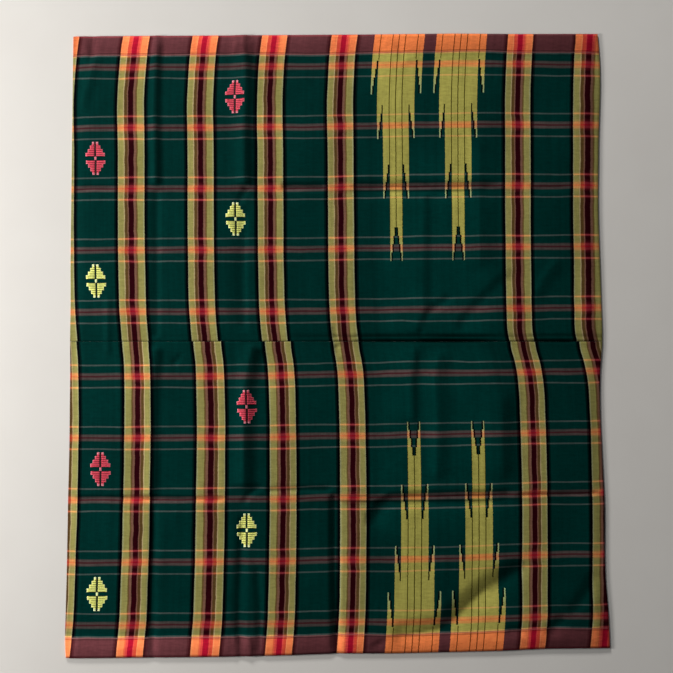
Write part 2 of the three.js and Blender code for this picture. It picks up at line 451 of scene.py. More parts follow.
def clothMaterial():
    material, tree, shader = newMaterial("woven songket cloth")
    uv = tree.nodes.new("ShaderNodeUVMap")
    uv.uv_map = "clothUV"
    across, up = inMillimetres(tree, uv.outputs["UV"])
    flat = spot(tree, across, up)
    stray = spread(tree, grain(tree, flat, loom["strayScale"]), -loom["stray"], loom["stray"])
    ragged, sag, dyeRun = (strayed(tree, across, up, *loom[name]) for name in ("ragged", "sag", "dyeRun"))
    wovenUp = plus(tree, up, sag)
    offColumn = columnPlace(tree, plus(tree, across, plus(tree, stray, ragged)), up)
    factor = plus(tree, calc(tree, "DIVIDE", offColumn, columns["pitch"]), 0.5, clamp=True)
    filled, gap, pale, line = spikeMasks(tree, plus(tree, across, dyeRun), wovenUp)
    kinds = []
    for crossing in range(len(crossings)):
        colour = stripeRamp(tree, factor, crossing)
        for mask, name in ((filled, "filled"), (pale, "tips"), (gap, "gap"), (line, "line")):
            colour = blend(tree, mask, colour, srgb(*spikes[name][crossing]))
        kinds.append(colour)
    colour = layRows(tree, across, up, wovenUp, offColumn, kinds)

    # the weave, uneven dye, the lighter head panel, and the painted shade and light on the mesh, darkest in
    # the deep tucks
    cloth = useGroup(tree, weaveGroup, {"Across": across, "Along": up})
    dye = spread(tree, grain(tree, flat, *finish["dyeNoise"]), *finish["dye"])
    inHead = times(tree, band(tree, across, *headTint["across"], headTint["soft"]),
                   remap(tree, up, *headTint["up"]), minus(tree, 1.0, filled))
    headLift = remap(tree, inHead, 0.0, 1.0, 1.0, headTint["lift"])
    # painted shade, and below nought painted light, read from the mesh
    lit = minus(tree, 1.0, painted(tree, "paintedShadeAndLight"))
    colour = shaded(tree, colour, times(tree, cloth["Shade"], dye, lit, headLift))
    dress(tree, shader, colour, spread(tree, cloth["Slub"], *finish["roughness"]), cloth["Height"], finish)
    return material


yarn = {
    "twist": 0.7, "twistShade": 0.08,  # length of one twist, and how much it darkens
    "fleck": (3.0, 1.0, 0.0, 3.0),
    "tones": ((-0.6, -0.1), (0.0, 0.6), (0.8, 1.0)),  # where each colour takes over from the one before
    "colours": {  # from where the yarn turns under to its bright end
        "red flower yarn": ((54, 4, 12), (188, 24, 50), (234, 82, 102), (226, 140, 152)),
        "yellow flower yarn": ((26, 34, 8), (224, 221, 88), (250, 254, 146), (246, 254, 196)),
        "dark sewing thread": ((4, 14, 13), (8, 26, 24), (14, 44, 40), (20, 60, 52)),
    },
    "shade": (0.84, 1.08), "roughness": (0.42, 0.58), "metallic": 0.25, "specular": 0.15,
    "bump": {"Strength": 0.3, "Distance": 0.0001},
}


def threadMaterial(name):
    # floating yarn, dark where it turns under, by the tone painted on each strand, with a fine twist
    material, tree, shader = newMaterial(name)
    across, along = inMillimetres(tree, tree.nodes.new("ShaderNodeTexCoord").outputs["Object"])
    twist = calc(tree, "SINE", times(tree, plus(tree, across, along), 2 * math.pi / yarn["twist"]))
    fleck = stretched(tree, across, along, *yarn["fleck"])
    tone = painted(tree, "tone")
    colour, *others = [srgb(*each) for each in yarn["colours"][name]]
    for ends, towards in zip(yarn["tones"], others):
        colour = blend(tree, remap(tree, tone, *ends), colour, towards)
    shade = spread(tree, plus(tree, fleck, times(tree, twist, yarn["twistShade"])), *yarn["shade"])
    dress(tree, shader, shaded(tree, colour, shade), spread(tree, fleck, *yarn["roughness"]), twist, yarn)
    return material


weaveGroup = plainWeaveGroup()
clothFinish = clothMaterial()
yarnFinishes = {name: threadMaterial(name) for name in yarn["colours"]}
print("materials are made")

tube = {
    "shell": 0.6,  # thickness of the cloth
    "flatHeight": 2.4,  # top of the front layer where it lies flat on the back
    "air": 3.0,  # how far the front stands off the back inside a pressed square
    "leastAir": -0.9,
    "mostAir": 9.0,
    "edgeFade": 30.0,  # width over which that air runs out towards folds and mouths
    "mouthShare": 0.25,  # how much of it is left at the mouths
    "soften": 0.7,  # how softly the troughs end on the back layer
    "seamGap": 0.3,
    "guess": 500.0, "rounds": 6,  # furthest first guess, and rounds of correction, when a place is sought
    "closingSeamAt": -54.0,  # X of the closing seam on the back, before the cloth's drift
    "headAt": 178.9,  # X of the middle of the head panel, before the cloth's drift
    "cells": (52, 8, 236, 8, 44),  # round the tube: back, right fold, front, left fold, back
    "rows": [(0, 0), (57, 288), (73, 314), (126, 578), (140, 600)],  # count from the mouth, and how far in
}

folds = [  # height, left fold, right fold
    (605, -520, 512), (560, -520, 515), (380, -520, 511), (250, -520, 509), (192, -520, 510),
    (150, -520, 511), (80, -519, 512.5), (0, -519, 513.5), (-60, -518, 509), (-115, -518, 508),
    (-220, -518, 511), (-300, -519, 514), (-455, -520, 514.5), (-520, -521, 519), (-586, -521, 521),
    (-605, -519.5, 521),
]

# How far the upright stripes have drifted towards +X at a height: near the left fold, in the middle
# and near the right fold.
drift = {
    "upper_panel": [
        (607, 8.0, 8.4, 9.0), (566, 3.2, 3.3, 5.0), (530, 0.2, 0.8, 3.0), (480, -2.2, -1.3, 1.3),
        (369, -0.5, -0.5, 0.3), (247, 0.7, 0.4, -0.6), (130, 3.0, 1.4, -0.4), (60, 5.8, 3.8, 0.0),
        (14, 9.6, 7.6, 2.0), (-1, 11.0, 9.6, 5.2),
    ],
    "lower_panel": [
        (1, 19.0, 11.5, 4.5), (-14, 20.1, 13.1, 6.4), (-38, 22.4, 17.4, 12.9), (-60, 23.3, 20.2, 17.2),
        (-84, 24.0, 21.6, 20.2), (-143, 25.2, 23.5, 22.9), (-230, 24.9, 24.9, 24.9),
        (-366, 23.3, 25.6, 25.3), (-467, 21.0, 24.5, 23.9), (-520, 19.6, 23.4, 23.4),
        (-575, 15.3, 20.2, 19.6), (-608, 11.9, 17.4, 16.5),
    ],
}
driftShares = (0.12, 0.5, 0.87)  # shares of the flat width at which those three are given
driftPast = 1.2  # the drift goes on changing a little past the last

# Both edges of each striped column as woven, from the middle of the head panel.
wovenColumns = {
    "upper_panel": [(-743.6, -693.8), (-607.2, -555.3), (-471.2, -420.6), (-334.6, -285.1), (-197.7, -147.6),
                    (148.3, 197.3), (280.6, 337.3)],
    "lower_panel": [(-754.0, -703.6), (-614.7, -563.8), (-475.2, -420.4), (-334.1, -283.4), (-199.2, -149.3),
                    (150.2, 198.5), (285.3, 338.5)],
}
columnsLeft = 5  # of the columns above, those left of the head panel
wovenHead = {  # places in the head panel as woven, and where an even pattern has them
    "upper_panel": [(-113.2, -116.5), (-64.9, -66.0), (-15.5, -15.5), (8.6, 5.5), (20.0, 18.5), (56.0, 56.0)],
    "lower_panel": [],
}

# Height in the cloth's pattern at the mouth and at the centre seam, across the flat width.
rowTilt = {
    "upper_panel": [(0.0, 0.5, 600.5), (0.44, 0.0, 602.0), (0.55, 1.3, 604.0), (0.66, 2.7, 605.0),
                    (0.8, 4.0, 606.0), (0.9, 1.5, 609.0), (1.0, 1.0, 609.0)],
    "lower_panel": [(0.0, 1.0, 611.5), (0.3, 1.0, 611.5), (0.45, 3.0, 608.5), (0.55, 3.0, 607.5),
                    (0.66, 4.6, 604.5), (0.8, 0.0, 605.0), (1.0, 0.0, 602.5)],
}

mouths = {"upper_panel": (600.0, 605.0), "lower_panel": (-605.0, -586.0)}  # heights at both folds
mouthWave = {  # share of the flat width, and how far the edge strays from straight
    "upper_panel": [(0.0, 0.0), (0.3, 0.4), (0.55, 0.9), (0.72, 2.0), (0.85, 0.4), (1.0, 0.0)],
    "lower_panel": [(0.0, 0.0), (0.28, -2.6), (0.4, -2.2), (0.5, -0.4), (0.6, -2.2), (0.8, -1.3), (0.88, 1.2),
                    (1.0, 0.0)],
}

# Creases pressed in by storage and by laying out, each a line on the plan that starts at its south or
# west end: how high it stands, below nought for a trough, how far its flanks reach on the west or north
# side and on the east or south side, and the length over which it dies out at its ends.
creases = [
    ([(-353, 303), (-356, 449), (-355, 546), (-352, 612)], 2.0, 16, 10, 12),
    ([(-352, 4), (-352, 139), (-353, 245), (-352, 299)], -1.2, 15, 10, 12),
    ([(-178, 300), (-180, 410), (-178, 527), (-181, 612)], 2.5, 34, 17, 14),
    ([(-195, 267), (-185, 286), (-176, 307)], -1.1, 8, 9, 10),
    ([(-183, 14), (-185, 139), (-181, 265)], -1.2, 26, 10, 30),
    ([(-112, 301), (-19, 302)], -1.8, 11, 12, 14),
    ([(-509, 300), (-430, 299)], -1.0, 6, 6, 20),
    ([(24, 304), (121, 304), (218, 303), (266, 304), (319, 301)], -1.6, 13, 40, 34),
    ([(373, 298), (460, 300)], -0.7, 8, 10, 30),
    ([(168, 12), (168, 139), (170, 294)], 1.0, 92, 14, 16),
    ([(280, 135), (278, 274), (278, 410)], 1.5, 55, 34, 40),
    ([(160, 8), (173, 53), (201, 75), (226, 90)], -0.9, 11, 12, 16),
    ([(228, 14), (257, 57), (286, 86), (315, 114), (354, 137)], -1.0, 15, 40, 24),
    ([(379, 81), (406, 129), (435, 166)], 0.9, 14, 24, 24),
    ([(-503, 445), (-492, 488), (-476, 546), (-474, 570)], 0.9, 9, 16, 26),
    ([(-480, 548), (-484, 580), (-486, 612)], -1.4, 10, 14, 16),
    ([(-443, -36), (-444, 22), (-444, 96)], 0.7, 9, 6, 26),
    ([(-358, -303), (-355, -249), (-356, -152), (-355, -75), (-348, -7)], 1.6, 34, 14, 14),
    ([(-354, -612), (-355, -501), (-353, -394), (-353, -312)], -1.2, 7, 12, 12),
    ([(-178, -284), (-178, -191), (-178, -104), (-170, -45), (-160, -3)], 2.6, 30, 25, 14),
    ([(-183, -315), (-172, -294), (-158, -284), (-141, -280)], -1.0, 8, 9, 10),
    ([(-189, -612), (-189, -501), (-187, -424), (-183, -330)], -1.5, 10, 15, 20),
    ([(-148, -612), (-150, -501), (-154, -424)], -1.4, 11, 9, 30),
    ([(-509, -301), (-383, -301), (-209, -303)], -1.0, 6, 7, 20),
    ([(-141, -286), (-60, -284), (-9, -284)], -1.3, 6, 8, 14),
    ([(59, -363), (65, -336), (80, -315), (104, -301), (160, -297), (237, -297), (315, -294), (342, -293)],
     -1.7, 13, 34, 26),
    ([(342, -296), (509, -292)], -1.1, 6, 6, 20),
    ([(146, -162), (144, -75), (150, -3)], 1.3, 60, 12, 24),
    ([(193, -272), (195, -152), (191, -75), (199, -12)], 1.5, 26, 30, 30),
    ([(321, -272), (319, -191), (321, -82)], 1.7, 80, 34, 40),
    ([(-3, -612), (-5, -501), (-7, -394), (-7, -288)], -2.6, 10, 13, 20),
    ([(102, -557), (158, -550), (195, -542), (224, -519), (253, -493), (292, -460), (327, -443), (365, -426)],
     -2.0, 26, 44, 26),
    ([(292, -486), (330, -446), (372, -424)], -0.8, 14, 20, 20),
    ([(402, -567), (416, -544), (439, -524)], -1.3, 18, 22, 16),
    ([(443, -524), (462, -501), (482, -472), (493, -439)], -1.1, 20, 22, 20),
    ([(321, -553), (358, -552)], -1.0, 8, 12, 10),
    ([(63, -585), (94, -571)], -1.0, 7, 8, 10),
    ([(-321, -47), (-300, -24)], -0.8, 6, 6, 8),
    ([(-197, -612), (-191, -583), (-197, -559)], 1.0, 5, 5, 10),
    ([(-168, -612), (-166, -586), (-170, -560)], 1.2, 6, 5, 10),
    ([(-170, 612), (-178, 585), (-176, 560)], -1.0, 5, 6, 12),
    ([(-203, 566), (-196, 586), (-200, 612)], 0.8, 5, 6, 10),
    ([(115, 588), (124, 570), (128, 549)], -0.6, 7, 9, 10),
    ([(128, 549), (148, 557), (162, 552)], 0.35, 8, 8, 10),
    ([(240, 560), (262, 549), (280, 551)], -0.5, 8, 10, 12),
    ([(-9, 30), (-4, 14), (2, 5)], -0.9, 5, 6, 6),
    ([(2, -26), (-4, -14), (2, -5)], -0.9, 5, 6, 6),
]
# Where a crease's flank is in the dark: a line of X, height and how dark, and how far the dark reaches
# on the line's west or north side and on its other side.
shadows = [
    ([(-110, 303, 0.1), (20, 303, 0.3), (60, 303.5, 0.45), (240, 303.5, 0.45), (330, 303, 0.0)], 1.8, 1.8),
    ([(-110, 294, 0.1), (20, 294, 0.4), (60, 294.5, 0.62), (240, 295, 0.62), (300, 296, 0.25),
      (360, 297, 0.0)], 2.0, 2.4),
    ([(-70, -295, 0.0), (-5, -296, 0.35), (60, -296.5, 0.6), (276, -295.5, 0.6), (330, -293, 0.25),
      (360, -292, 0.0)], 1.7, 1.7),
    ([(-110, -304, 0.0), (-60, -305, 0.3), (-5, -306, 0.45), (60, -307, 0.78), (276, -305.5, 0.78),
      (330, -303, 0.4), (430, -300, 0.3), (512, -299, 0.2)], 2.6, 3.2),
    ([(66, -366, 0.0), (68, -340, 0.45), (84, -318, 0.5), (120, -309, 0.0)], 9, 4),
    ([(100, -564, 0.0), (112, -562, 0.5), (140, -558, 0.65), (168, -552, 0.65), (197, -547, 0.5)], 4, 3),
    ([(150, -556, 0.0), (197, -547, 0.5), (228, -524, 0.66), (252, -499, 0.62), (276, -478, 0.6),
      (300, -461, 0.55), (327, -447, 0.4), (350, -434, 0.2), (372, -424, 0.0)], 13, 5),
]
# Strength and form of the creases, and the painted shade along them, on their dark flanks and at the left
# fold
creasesAndShade = {
    "press": 2.1,  # how much stronger or weaker all the creases are
    "round": 0.3,  # from sharp crests at nought to round swellings at one
    "crease": 0.16, "creaseHalf": 3.4,  # painted shade along each crease's line, and how far it reaches
    "shadow": 0.10,  # darkening of the flank turned from the light
    "shadowFall": 1.5, "turnWide": 6.0,  # how fast that ends down the flank, and how softly on the crest
    "fullRise": 3,  # creases that stand higher are no darker
    "atEnds": 0.1,  # how much is left at a crease's ends
    "soften": 2.8,  # how softly the crests turn
    "leftFold": (0.34, 7.0),  # painted shade at the left fold, and how far it reaches
    "backShare": 0.5, "backMost": 1.5, "backWiden": 2.2,  # how much of the creases shows underneath
    "backRoom": 0.7, "leastRoom": 0.1,  # share of the room under the front that it may take
    "endShare": 0.5,  # how much of the creases reaches the folds and mouths
}

swells = [  # loose cloth, as ellipses on the plan: middle, reach both ways, rise
    (395, -512, 105, 44, 1.9), (215, -420, 110, 70, 0.7), (60, 60, 120, 60, 0.5), (-260, -420, 60, 120, 0.4),
    (440, 150, 50, 120, 0.7), (-440, 450, 60, 110, 0.4), (250, 440, 70, 90, 0.4), (-260, 180, 60, 90, 0.4),
]

seamTucks = [  # X, how deep the cloth is pulled into the centre seam there, and how dark the painted shadow is around it
    (-520, 0.08, 0.05), (-110, 0.10, 0.1), (-70, 0.12, 0.35), (2, 0.25, 0.45), (28, 0.12, 0.5),
    (48, 0.60, 0.7), (95, 0.85, 0.75), (150, 0.75, 0.7), (168, 0.95, 0.7), (215, 1.0, 0.85),
    (280, 0.85, 0.8), (326, 0.18, 0.4), (366, 0.22, 0.4), (384, 0.75, 0.5), (448, 0.8, 0.5),
    (466, 0.3, 0.4), (514, 0.25, 0.4),
]

# How much painted shade, or below nought painted light, lies on the borders at the mouths, by share of the
# width.
borderLightAndShade = {
    "upper_panel": [(0.0, 0.12), (0.03, -0.05), (0.1, -0.12), (0.3, 0.0), (0.55, 0.06), (0.8, 0.2),
                    (1.0, 0.3)],
    "lower_panel": [(0.0, -0.58), (0.18, -0.7), (0.3, -0.42), (0.45, -0.2), (0.6, -0.06), (0.8, -0.1),
                    (0.9, 0.1), (1.0, 0.22)],
    "reach": (38.0, 46.0),
}

cockles = [(0.42, 95, 120, 5.0), (0.20, 30, 38, 9.0), (0.07, 11, 15, 2.0)]  # rise, length both ways, seed
seamPull = {  # pairs are a least measure, and what each unit of a tuck's depth adds to it
    "waves": ((1.1, 6.5, 3.0), (-0.9, 11.5, 3.0)),  # rise, height and reach where the cloth hangs over
    "middle": 1.5, "half": (1.2, 3.4), "deep": (0.5, 1.9),  # the groove
    # the groove's dark core, and the shade above and below it, are painted shadow
    "core": (0.9, 3.1), "coreDark": (0.16, 0.82), "mostDark": 0.95,
    "aboveAt": 10.0, "aboveReach": (5.0, 2.4),  # painted shadow on the upper width, and its reach up and down
    "belowShare": 0.7, "belowFrom": 1.0, "belowReach": 5.0,
}


def mix(a, b, t):
    return a + (b - a) * t


def smooth(t):
    c = np.clip(t, 0, 1)
    return c * c * (3 - 2 * c)


def readTable(table, column, at):  # a column of a table, on a smooth curve through its rows
    keys = np.array([row[0] for row in table], float)
    values = np.array([row[column] for row in table], float)
    if keys[0] > keys[-1]:
        keys, values = keys[::-1], values[::-1]
    at = np.clip(at, keys[0], keys[-1])
    slopes = np.gradient(values, keys)
    low = np.clip(np.searchsorted(keys, at, side="right") - 1, 0, len(keys) - 2)
    span = keys[low + 1] - keys[low]
    t = (at - keys[low]) / span
    return (mix(values[low], values[low + 1], t * t * (3 - 2 * t))
            + t * (1 - t) ** 2 * span * slopes[low] + t * t * (t - 1) * span * slopes[low + 1])


def straightTable(table, column, at):
    return np.interp(at, [row[0] for row in table], [row[column] for row in table])


def foldsAt(y):
    return readTable(folds, 1, y), readTable(folds, 2, y)


def mouthHeight(panel, share):
    return mix(*mouths[panel], share) + straightTable(mouthWave[panel], 1, share)


def seamHeight(panel):
    return tube["seamGap"] / 2 * (1 if panel == "upper_panel" else -1)


def driftAt(panel, y, share):
    left, middle, right = (readTable(drift[panel], column, y) for column in (1, 2, 3))
    a, b, c = driftShares
    leftPart = mix(left, middle, np.clip((share - a) / (b - a), 0, 1))
    return np.where(share < b, leftPart, mix(middle, right, np.clip((share - b) / (c - b), 0, driftPast)))


def wovenStations(panel):  # places across the woven cloth, and where the even pattern has them
    stations = []
    for index, (left, right) in enumerate(wovenColumns[panel]):
        if index < columnsLeft:
            middle = -columns["first"] - columns["pitch"] * (columnsLeft - 1 - index)
        else:
            middle = columns["first"] + columns["pitch"] * (index - columnsLeft)
        stations += [(left, middle - columns["half"]), (right, middle + columns["half"])]
    stations = sorted(stations + wovenHead[panel])
    woven, even = zip(*stations)
    far = 600.0
    return [woven[0] - far, *woven, woven[-1] + far], [even[0] - far, *even, even[-1] + far]


def alongLine(points, x, y):
    # distance to a bent line, whether a place is on its left-hand side, and how far along it is
    nearest = np.full(np.shape(x), 1e9)
    along = np.zeros(np.shape(x))
    onLeft = np.zeros(np.shape(x), bool)
    walked = 0.0
    for (x1, y1), (x2, y2) in zip(points, points[1:]):
        length = math.hypot(x2 - x1, y2 - y1)
        t = np.clip(((x - x1) * (x2 - x1) + (y - y1) * (y2 - y1)) / length ** 2, 0, 1)
        distance = np.hypot(x - x1 - (x2 - x1) * t, y - y1 - (y2 - y1) * t)
        closer = distance < nearest
        nearest = np.where(closer, distance, nearest)
        along = np.where(closer, walked + t * length, along)
        onLeft = np.where(closer, (x2 - x1) * (y - y1) - (y2 - y1) * (x - x1) > 0, onLeft)
        walked += length
    return nearest, onLeft, along, walked


def creaseForm(x, y, widen=1.0):  # height of the creases, and the painted shade along their lines and on their flanks turned from the light
    height = np.zeros(np.shape(x))
    dark = np.zeros(np.shape(x))
    for points, rise, leftReach, rightReach, dying in creases:
        distance, onLeft, along, whole = alongLine(points, x, y)
        part = smooth(np.minimum(along, whole - along) / dying + creasesAndShade["atEnds"])
        reach = np.where(onLeft, leftReach, rightReach) * widen
        soften = creasesAndShade["soften"] * widen
        t = np.clip(1 - (np.sqrt(distance ** 2 + soften ** 2) - soften) / reach, 0, 1)
        height += creasesAndShade["press"] * rise * part * mix(t * t, smooth(t), creasesAndShade["round"])
        strength = min(abs(rise), creasesAndShade["fullRise"]) * part
        # painted shade along the crease's line
        wornAndShaded = creasesAndShade["crease"] * strength * np.exp(-(distance / creasesAndShade["creaseHalf"] / widen) ** 2)
        turned = smooth(np.where(onLeft == (rise < 0), distance, -distance) / creasesAndShade["turnWide"] + 0.5)
        flank = creasesAndShade["shadow"] * strength * turned * t ** creasesAndShade["shadowFall"]
        dark = np.maximum(dark, np.maximum(wornAndShaded, flank))
    return height, dark


def shadowForm(x, y):
    dark = np.zeros(np.shape(x))
    for line, leftReach, rightReach in shadows:
        points = [(pointX, pointY) for pointX, pointY, _ in line]
        distance, onLeft, along, _ = alongLine(points, x, y)
        walked = np.cumsum([0] + [math.dist(a, b) for a, b in zip(points, points[1:])])
        strength = np.interp(along, walked, [deep for _, _, deep in line])
        reach = np.where(onLeft, leftReach, rightReach)
        dark = np.maximum(dark, strength * np.exp(-(distance / reach) ** 2))
    return dark


def seamForm(x, y):
    # the two widths pull into the seam: the upper one hangs over it, and the lower one rises out of it, with
    # painted shadow in the groove and either side of it
    depth, around = straightTable(seamTucks, 1, x), straightTable(seamTucks, 2, x)
    half, deep, core, coreDark = (seamPull[name][0] + seamPull[name][1] * depth
                                  for name in ("half", "deep", "core", "coreDark"))
    height = np.zeros(np.shape(x))
    for rise, at, reach in seamPull["waves"]:
        height += np.where(y > 0, rise * depth * np.exp(-((y - at) / reach) ** 2), 0)
    off = np.abs(y - seamPull["middle"] * depth)
    # painted shadow on the upper width over the seam, and fainter below it
    at, (reachUp, reachDown) = seamPull["aboveAt"], seamPull["aboveReach"]
    above = around * np.exp(-((y - at) / np.where(y > at, reachUp, reachDown)) ** 2)
    under = np.maximum(-y - seamPull["belowFrom"], 0) / seamPull["belowReach"]
    dark = np.where(y > 0, above, seamPull["belowShare"] * around * np.exp(-under))
    dark = np.maximum(coreDark * np.exp(-(off / core) ** 4), dark)
    return height - deep * np.exp(-(off / half) ** 2), np.minimum(dark, seamPull["mostDark"])


def unevenness(x, y):  # slow waves and small cockles of a soft cloth laid by hand
    slow = [sum(rise * noise.noise(Vector((a / long, b / tall, seed))) for rise, long, tall, seed in cockles)
            for a, b in zip(np.ravel(x), np.ravel(y))]
    return np.reshape(slow, np.shape(x))


def frontForm(share, x, y, width, mouthDistance):
    # height of the front layer above where it would lie flat, and the painted shade on it: in the seam, along
    # the creases and on their flanks turned from the light
    foldFade = smooth(np.minimum(share, 1 - share) * width / tube["edgeFade"])
    fade = foldFade * smooth(tube["mouthShare"] + mouthDistance / tube["edgeFade"])
    loose = tube["air"] + unevenness(x, y)
    for midX, midY, reachX, reachY, rise in swells:
        loose += rise * np.exp(-((x - midX) / reachX) ** 2 - ((y - midY) / reachY) ** 2)
    crease, wornAndShaded = creaseForm(x, y)
    seam, dark = seamForm(x, y)
    creaseFade = np.minimum(foldFade, np.maximum(fade, creasesAndShade["endShare"]))
    height = loose * fade + crease * creaseFade + seam * foldFade
    least, soften = tube["leastAir"], tube["soften"]
    height = least + soften * np.logaddexp(0, (height - least) / soften)
    dark = np.maximum(dark, 1 - (1 - wornAndShaded) * (1 - shadowForm(x, y)))
    return np.minimum(height, tube["mostAir"]), dark


def backForm(share, x, y, width, mouthDistance):
    # the same creases show softly on the underside, which lifts off the floor as far as the front allows,
    # with their painted shade
    crease, wornAndShaded = creaseForm(x, y, creasesAndShade["backWiden"])
    above, _ = frontForm(share, x, y, width, mouthDistance)
    room = creasesAndShade["backRoom"] * (tube["flatHeight"] + above - 2 * tube["shell"] - creasesAndShade["leastRoom"])
    return np.clip(np.abs(crease) * creasesAndShade["backShare"], 0, np.clip(room, 0, creasesAndShade["backMost"])), wornAndShaded


def closingSeamX(panel, t):  # the closing seam has drifted with the cloth
    return tube["closingSeamAt"] - driftAt(panel, mix(mouthHeight(panel, 0.5), 0, t), 0.5)


def foldEdge(panel, y, end):
    # X where the front meets its left or right fold, end nought or one, and the place in the cloth there
    x = foldsAt(y)[end] + tube["flatHeight"] / 2 * (1 - 2 * end)
    return x, x - tube["headAt"] - driftAt(panel, y, end)


def patternPlace(panel, wovenAcross, share, t):
    # place in the even pattern: across from the head panel's middle, and up from the outer selvedge
    woven, even = wovenStations(panel)
    across = np.interp(wovenAcross, woven, even)
    up = mix(straightTable(rowTilt[panel], 1, share), straightTable(rowTilt[panel], 2, share), t)
    if panel == "lower_panel":  # the same cloth, turned end for end
        across = -across
    return across, up


def ringStations():
    # for each column of grid points: which stretch of the tube it is on, and its share of that stretch
    stretches, shares = [], []
    for stretch, cells in enumerate(tube["cells"]):
        for cell in range(cells):
            stretches.append(stretch)
            shares.append(cell / cells)
    return np.array([*stretches, len(tube["cells"]) - 1]), np.array([*shares, 1.0])


def rowShare(row):  # share of the height from the mouth, with rows close together at the fold and the seam
    return straightTable(tube["rows"], 1, row) / tube["rows"][-1][1]


def wrapIntoTube(panel, stretch, part, t):
    # turns flat grid places into the tube: positions, places in the cloth's pattern, and the painted shade
    # and light
    radius = tube["flatHeight"] / 2
    seamX, gap = closingSeamX(panel, t), tube["seamGap"] / 2
    (left, startLeft), (right, startRight) = (
        foldEdge(panel, mix(mouthHeight(panel, end), seamHeight(panel), t), end) for end in (0, 1))
    width = right - left + 2 * radius
    onRight, onLeft, front = stretch == 1, stretch == 3, stretch == 2
    back, onFold = (stretch == 0) | (stretch == 4), onRight | onLeft
    x = np.select(
        [stretch == 0, onRight, front, onLeft],
        [mix(seamX + gap, right, part), right, mix(right, left, part), left], mix(left, seamX - gap, part))
    share = np.select([onRight, onLeft], [1.0, 0.0], (x - left + radius) / width)
    y = mix(mouthHeight(panel, share), seamHeight(panel), t)
    toMouth = np.abs(mouthHeight(panel, share) - y)
    z, dark = np.zeros(len(x)), np.zeros(len(x))
    z[front], dark[front] = frontForm(share[front], x[front], y[front], width[front], toMouth[front])
    z[front] += tube["flatHeight"]
    z[back], dark[back] = backForm(share[back], x[back], y[back], width[back], toMouth[back])
    angle = math.pi * (part + np.where(onRight, -0.5, 0.5))
    z = np.where(onFold, radius + radius * np.sin(angle), z)
    inner, outer = borderLightAndShade["reach"]
    inBorder = 1 - smooth((toMouth - inner) / (outer - inner))
    # painted shade at the left fold
    most, reach = creasesAndShade["leftFold"]
    dark = np.maximum(dark, most * np.exp(-np.maximum(x - left + radius, 0) / reach))
    # painted shade and light on the borders at the mouths
    dark += straightTable(borderLightAndShade[panel], 1, share) * inBorder
    # the length of cloth round from the fold's front edge gives the place across the cloth
    turn = math.pi * radius
    across = np.select(
        [stretch == 0, onRight, front, onLeft],
        [startRight + turn + right - x, startRight + turn * (1 - part),
         x - tube["headAt"] - driftAt(panel, y, share), startLeft - turn * part],
        startLeft - turn + left - x)
    x = np.where(onFold, x + radius * np.cos(angle), x)
    return (x, y, z), patternPlace(panel, across, share, t), dark


def findPlan(panel, side, wovenAcross, up):
    # plan place of a point of the cloth, found by a few rounds of correction
    end = int(np.mean(wovenAcross) > 0)
    turn = math.pi * tube["flatHeight"] / 2 * (2 * end - 1)
    x = np.clip(wovenAcross + tube["headAt"], -tube["guess"], tube["guess"])
    for _ in range(tube["rounds"]):
        share = np.clip((x - folds[0][1]) / (folds[0][2] - folds[0][1]), 0, 1)
        low, high = (straightTable(rowTilt[panel], column, share) for column in (1, 2))
        y = mix(mouthHeight(panel, share), seamHeight(panel), (up - low) / (high - low))
        if side == "front":
            x = wovenAcross + tube["headAt"] + driftAt(panel, y, share)
        else:
            edge, start = foldEdge(panel, y, end)
            x = edge + start + turn - wovenAcross
    return x, y


def choose(*pieces):  # selects just these, and makes the first of them active
    if bpy.context.mode != "OBJECT":
        bpy.ops.object.mode_set(mode="OBJECT")
    bpy.ops.object.select_all(action="DESELECT")
    for piece in reversed(pieces):
        piece.select_set(True)
        bpy.context.view_layer.objects.active = piece


def readPlaces(mesh):
    places = np.zeros(len(mesh.vertices) * 3)
    mesh.vertices.foreach_get("co", places)
    return places.reshape(-1, 3)


def addPanel(panel, name):
    # one loom width: a flat grid bent round into the tube, then given the cloth's thickness
    choose()
    cells, height = sum(tube["cells"]), tube["rows"][-1][0]
    bpy.ops.mesh.primitive_grid_add(x_subdivisions=cells, y_subdivisions=height, size=2, calc_uvs=False)
    piece = bpy.context.object
    piece.name = piece.data.name = name
    mesh = piece.data
    places = readPlaces(mesh)
    column = np.rint((places[:, 0] + 1) / 2 * cells).astype(int)
    row = np.rint((places[:, 1] + 1) / 2 * height).astype(int)
    if panel == "upper_panel":  # faces stay turned outwards when rows run down from the mouth
        row = height - row
    t = rowShare(row)
    stretches, shares = ringStations()
    positions, (across, up), dark = wrapIntoTube(panel, stretches[column], shares[column], t)
    mesh.vertices.foreach_set("co", (np.column_stack(positions) * mm).ravel())
    # the painted shade and light, a number on each point
    mesh.attributes.new("paintedShadeAndLight", "FLOAT", "POINT").data.foreach_set("value", dark.astype(np.float32))
    loopVertex = np.zeros(len(mesh.loops), int)
    mesh.loops.foreach_get("vertex_index", loopVertex)
    clothMap = mesh.uv_layers.new(name="clothUV")
    clothMap.data.foreach_set("uv", (np.column_stack((across, up)) * mm)[loopVertex].ravel())
    bakeMap = mesh.uv_layers.new(name="OFBake")
    bakeMap.data.foreach_set("uv", bakePlaces(column, t, loopVertex).ravel())
    mesh.materials.append(clothFinish)
    mesh.update()
    turnOutwards(piece)
    thicken(piece)
    bpy.ops.object.shade_smooth()
    piece.select_set(False)
    return piece


def turnOutwards(piece):  # the front's faces look up
    facing = sum(face.normal.z * face.area for face in piece.data.polygons if face.center.z > 2 * mm)
    if facing < 0:
        bpy.ops.object.mode_set(mode="EDIT")
        bpy.ops.mesh.select_all(action="SELECT")
        bpy.ops.mesh.flip_normals()
        bpy.ops.object.mode_set(mode="OBJECT")


